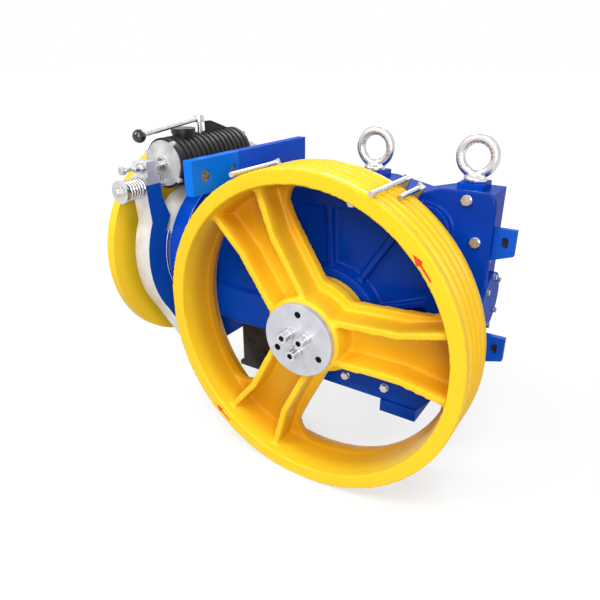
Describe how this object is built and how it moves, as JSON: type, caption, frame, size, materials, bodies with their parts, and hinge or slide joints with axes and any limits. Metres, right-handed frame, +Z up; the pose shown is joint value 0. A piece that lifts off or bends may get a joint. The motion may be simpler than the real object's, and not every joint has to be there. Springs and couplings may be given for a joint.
{
  "type": "elevator traction machine",
  "caption": "Geared hoisting machine: worm gear case, grooved rope sheave on an overhung shaft, drum brake with release magnet and hand lever, flywheel, feet and lifting eyes.",
  "frame": {"origin": "middle of the four foot bolt holes, in the plane of the feet, below the slow shaft", "axes": "+X along the worm shaft away from the brake, -Y along the slow shaft towards the sheave, +Z up"},
  "size_m": [0.788, 0.472, 0.648],
  "materials": {
    "case_blue": "satin machine enamel over casting",
    "cover_blue": "satin machine enamel over casting",
    "sheave_yellow": "satin enamel over casting",
    "black_steel": "semi-gloss black enamel",
    "knob_black": "polished phenolic",
    "machined_steel": "turned",
    "zinc_steel": "bright zinc plate",
    "spring_steel": "bright wire",
    "bearing_steel": "ground and polished",
    "seal_rubber": "matt",
    "sight_glass": "clear",
    "magnet_grey": "cast and turned",
    "drum_iron": "turned iron",
    "bronze": "cut bronze",
    "arm_silver": "bright cast",
    "lining_grey": "moulded friction lining"
  },
  "bodies": {
    "machine_frame": {"gear_case": "case_blue", "front_cover": "cover_blue", "rear_cover": "case_blue", "cover_screws": "zinc_steel", "rear_screws": "zinc_steel", "brake_housing": "case_blue", "housing_flange": "cover_blue", "worm_end_cover": "case_blue", "end_cover_screws": "zinc_steel", "base_bracket": "black_steel", "side_lugs": "cover_blue", "eyebolts": "zinc_steel", "breather": "zinc_steel", "sight_glass": "sight_glass", "drain_plug": "zinc_steel", "shaft_seal": "seal_rubber", "main_bearing_rings": "bearing_steel", "worm_bearing_rings": "bearing_steel", "rope_guards": "zinc_steel", "brake_bar": "cover_blue", "bar_pins": "zinc_steel", "magnet_saddle": "black_steel", "magnet_body": "black_steel", "magnet_covers": "magnet_grey", "terminal_cap": "black_steel", "pivot_pins": "zinc_steel", "spring_studs": "zinc_steel", "front_spring": "spring_steel", "rear_spring": "spring_steel", "spring_caps": "zinc_steel"},
    "sheave_rotor": {"traction_sheave": "sheave_yellow", "main_shaft": "machined_steel", "sheave_key": "machined_steel", "hub_plate": "machined_steel", "hub_screws": "zinc_steel", "wheel_hub": "drum_iron", "worm_wheel": "bronze", "wheel_key": "machined_steel", "main_bearing_balls": "bearing_steel"},
    "worm_rotor": {"worm_shaft": "machined_steel", "worm_bearing_balls": "bearing_steel", "brake_drum": "drum_iron", "drum_key": "machined_steel", "flywheel": "sheave_yellow", "shaft_nut": "machined_steel"},
    "front_brake_arm": {"front_arm": "arm_silver", "front_shoe": "cover_blue", "front_lining": "lining_grey", "front_adjuster": "zinc_steel", "front_trim_screw": "zinc_steel"},
    "rear_brake_arm": {"rear_arm": "arm_silver", "rear_shoe": "cover_blue", "rear_lining": "lining_grey", "rear_adjuster": "zinc_steel", "rear_trim_screw": "zinc_steel"},
    "front_magnet_plunger": {"front_plunger": "machined_steel"},
    "rear_magnet_plunger": {"rear_plunger": "machined_steel"},
    "release_gear": {"release_shaft": "machined_steel", "release_lever": "zinc_steel", "lever_knob": "knob_black"}
  },
  "joints": [
    {"name": "worm_spin", "type": "hinge", "parent": "machine_frame", "child": "worm_rotor", "pos_m": [0, 0, 0.26], "axis": [1, 0, 0], "continuous": true},
    {"name": "sheave_spin", "type": "hinge", "parent": "machine_frame", "child": "sheave_rotor", "pos_m": [0, 0, 0.19], "axis": [0, 1, 0], "continuous": true},
    {"name": "front_arm_hinge", "type": "hinge", "parent": "machine_frame", "child": "front_brake_arm", "pos_m": [-0.382, -0.066, 0.066], "axis": [1, 0, 0], "range_deg": [0, 0.5], "stiffness_Nm_per_rad": 1200, "springref_deg": -1.15, "deforming": ["front_spring"]},
    {"name": "rear_arm_hinge", "type": "hinge", "parent": "machine_frame", "child": "rear_brake_arm", "pos_m": [-0.382, 0.066, 0.066], "axis": [1, 0, 0], "range_deg": [-0.5, 0], "stiffness_Nm_per_rad": 1200, "springref_deg": 1.15, "deforming": ["rear_spring"]},
    {"name": "front_plunger_slide", "type": "slide", "parent": "machine_frame", "child": "front_magnet_plunger", "axis": [0, -1, 0], "range_m": [0, 0.00336]},
    {"name": "rear_plunger_slide", "type": "slide", "parent": "machine_frame", "child": "rear_magnet_plunger", "axis": [0, 1, 0], "range_m": [0, 0.00336]},
    {"name": "release_turn", "type": "hinge", "parent": "machine_frame", "child": "release_gear", "pos_m": [-0.372, 0, 0.45], "axis": [0, 0, 1], "range_deg": [-20, 20]}
  ],
  "couplings": [
    {"joint": "sheave_spin", "follows": "worm_spin", "ratio": -0.02381},
    {"joint": "rear_arm_hinge", "follows": "front_arm_hinge", "ratio": -1},
    {"joint": "front_plunger_slide", "follows": "front_arm_hinge", "m_per_rad": 0.384},
    {"joint": "rear_plunger_slide", "follows": "front_arm_hinge", "m_per_rad": 0.384}
  ]
}
